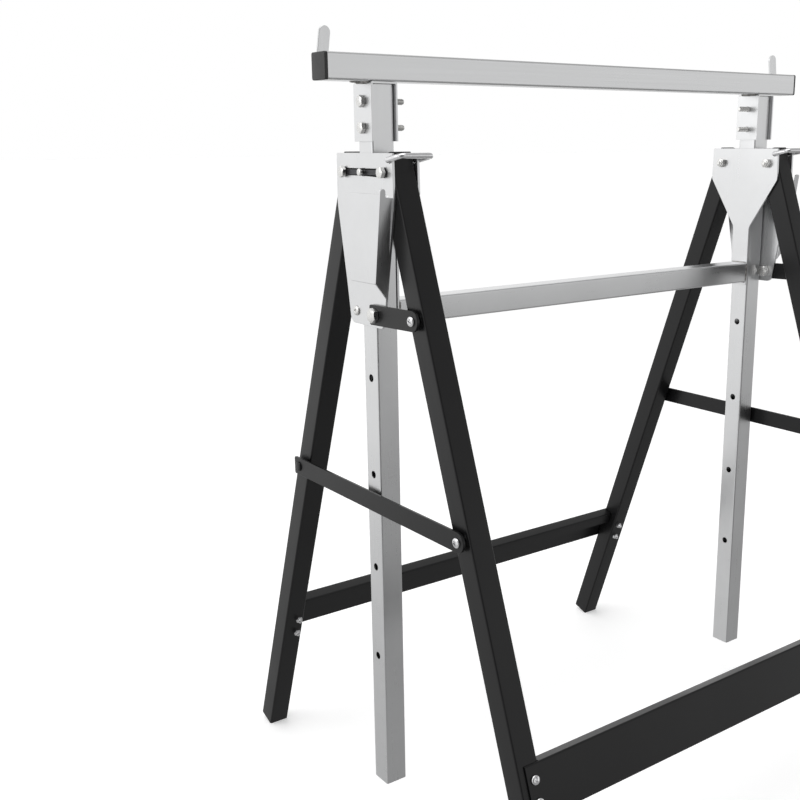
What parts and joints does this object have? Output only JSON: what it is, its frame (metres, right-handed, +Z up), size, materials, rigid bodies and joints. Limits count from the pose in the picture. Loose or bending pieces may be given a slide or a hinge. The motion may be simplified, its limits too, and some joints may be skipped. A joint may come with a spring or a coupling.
{
  "type": "folding sawhorse",
  "caption": "Folding steel sawhorse: square beam on two height-adjustable posts with lock pins, A-shaped legs on pivots, hook braces and crossbars.",
  "frame": {"origin": "on the floor, under the middle of the sawhorse", "axes": "+X along the beam, +Y to the rear legs, +Z up; millimetres in the files, metres in this record"},
  "size_m": [0.69, 0.596, 0.8539],
  "materials": {
    "galvanised": "bright zinc coating, faintly brushed",
    "zinc_plate": "zinc-plated fasteners",
    "chrome": "bright plated wire and screws",
    "spring_steel": "dark oiled spring steel",
    "black_paint": "semi-gloss black powder coat",
    "black_plastic": "fine-textured black plastic"
  },
  "bodies": {
    "bracket_frame": {"tie_bar": "galvanised", "outer_plate_left": "galvanised", "inner_plate_left": "galvanised", "lock_spring_left": "spring_steel", "guide_rivet_left": "zinc_plate", "brace_nut_left": "zinc_plate", "front_pivot_bolt_left": "zinc_plate", "rear_pivot_bolt_left": "zinc_plate", "outer_plate_right": "galvanised", "inner_plate_right": "galvanised", "lock_spring_right": "spring_steel", "guide_rivet_right": "zinc_plate", "brace_nut_right": "zinc_plate", "front_pivot_bolt_right": "zinc_plate", "rear_pivot_bolt_right": "zinc_plate"},
    "carriage": {"beam": "galvanised", "beam_cap_left": "black_plastic", "saddle_left": "galvanised", "post_left": "galvanised", "tab_rivet_left": "zinc_plate", "beam_cap_right": "black_plastic", "saddle_right": "galvanised", "post_right": "galvanised", "tab_rivet_right": "zinc_plate", "saddle_bolt_left_upper": "zinc_plate", "saddle_bolt_left_lower": "zinc_plate", "saddle_bolt_right_upper": "zinc_plate", "saddle_bolt_right_lower": "zinc_plate"},
    "front_legs": {"front_crossbar": "black_paint", "front_leg_left": "black_paint", "long_brace_screw_left": "chrome", "short_brace_screw_left": "chrome", "front_leg_right": "black_paint", "long_brace_screw_right": "chrome", "short_brace_screw_right": "chrome", "front_crossbar_screw_left_upper": "chrome", "front_crossbar_screw_left_lower": "chrome", "front_crossbar_screw_right_upper": "chrome", "front_crossbar_screw_right_lower": "chrome"},
    "rear_legs": {"rear_crossbar": "black_paint", "rear_leg_left": "black_paint", "rear_leg_right": "black_paint", "rear_crossbar_screw_left_upper": "chrome", "rear_crossbar_screw_left_lower": "chrome", "rear_crossbar_screw_right_upper": "chrome", "rear_crossbar_screw_right_lower": "chrome"},
    "stop_tab_left": {"stop_tab_left": "galvanised"},
    "lock_pin_left": {"lock_pin_left": "zinc_plate"},
    "bail_left": {"bail_left": "chrome"},
    "long_brace_left": {"long_brace_left": "black_paint", "long_brace_stud_left": "black_paint"},
    "short_brace_left": {"short_brace_left": "black_paint", "short_brace_bolt_left": "zinc_plate"},
    "stop_tab_right": {"stop_tab_right": "galvanised"},
    "lock_pin_right": {"lock_pin_right": "zinc_plate"},
    "bail_right": {"bail_right": "chrome"},
    "long_brace_right": {"long_brace_right": "black_paint", "long_brace_stud_right": "black_paint"},
    "short_brace_right": {"short_brace_right": "black_paint", "short_brace_bolt_right": "zinc_plate"}
  },
  "joints": [
    {"name": "height_slide", "type": "slide", "parent": "bracket_frame", "child": "carriage", "axis": [0, 0, 1], "range_m": [0, 0.51]},
    {"name": "front_legs_fold", "type": "hinge", "parent": "bracket_frame", "child": "front_legs", "pos_m": [0, -0.0355, 0.72], "axis": [1, 0, 0], "range_deg": [0, 17.5]},
    {"name": "rear_legs_fold", "type": "hinge", "parent": "bracket_frame", "child": "rear_legs", "pos_m": [0, 0.0355, 0.72], "axis": [1, 0, 0], "range_deg": [-17.5, 0]},
    {"name": "stop_tab_left_fold", "type": "hinge", "parent": "carriage", "child": "stop_tab_left", "pos_m": [-0.3339, 0.01405, 0.8165], "axis": [0, 1, 0], "range_deg": [0, 82]},
    {"name": "lock_pin_left_push", "type": "slide", "parent": "bracket_frame", "child": "lock_pin_left", "axis": [1, 0, 0], "range_m": [0, 0.003]},
    {"name": "bail_left_swing", "type": "hinge", "parent": "bracket_frame", "child": "bail_left", "pos_m": [-0.2835, -0.0455, 0.7315], "axis": [1, 0, 0], "range_deg": [-90, 0]},
    {"name": "long_brace_left_swing", "type": "hinge", "parent": "front_legs", "child": "long_brace_left", "pos_m": [-0.3006, -0.15212, 0.387], "axis": [1, 0, 0], "range_deg": [-107.5, 0]},
    {"name": "short_brace_left_swing", "type": "hinge", "parent": "front_legs", "child": "short_brace_left", "pos_m": [-0.3006, -0.08278, 0.585], "axis": [1, 0, 0], "range_deg": [-107.5, 0]},
    {"name": "stop_tab_right_fold", "type": "hinge", "parent": "carriage", "child": "stop_tab_right", "pos_m": [0.3339, 0.01405, 0.8165], "axis": [0, -1, 0], "range_deg": [0, 82]},
    {"name": "lock_pin_right_push", "type": "slide", "parent": "bracket_frame", "child": "lock_pin_right", "axis": [-1, 0, 0], "range_m": [0, 0.003]},
    {"name": "bail_right_swing", "type": "hinge", "parent": "bracket_frame", "child": "bail_right", "pos_m": [0.2835, -0.0455, 0.7315], "axis": [1, 0, 0], "range_deg": [-90, 0]},
    {"name": "long_brace_right_swing", "type": "hinge", "parent": "front_legs", "child": "long_brace_right", "pos_m": [0.3006, -0.15212, 0.387], "axis": [1, 0, 0], "range_deg": [-107.5, 0]},
    {"name": "short_brace_right_swing", "type": "hinge", "parent": "front_legs", "child": "short_brace_right", "pos_m": [0.3006, -0.08278, 0.585], "axis": [1, 0, 0], "range_deg": [-107.5, 0]}
  ],
  "couplings": [
    {"joint": "long_brace_left_swing", "follows": "front_legs_fold", "ratio": -6.1429},
    {"joint": "short_brace_left_swing", "follows": "front_legs_fold", "ratio": -6.1429},
    {"joint": "long_brace_right_swing", "follows": "front_legs_fold", "ratio": -6.1429},
    {"joint": "short_brace_right_swing", "follows": "front_legs_fold", "ratio": -6.1429}
  ]
}
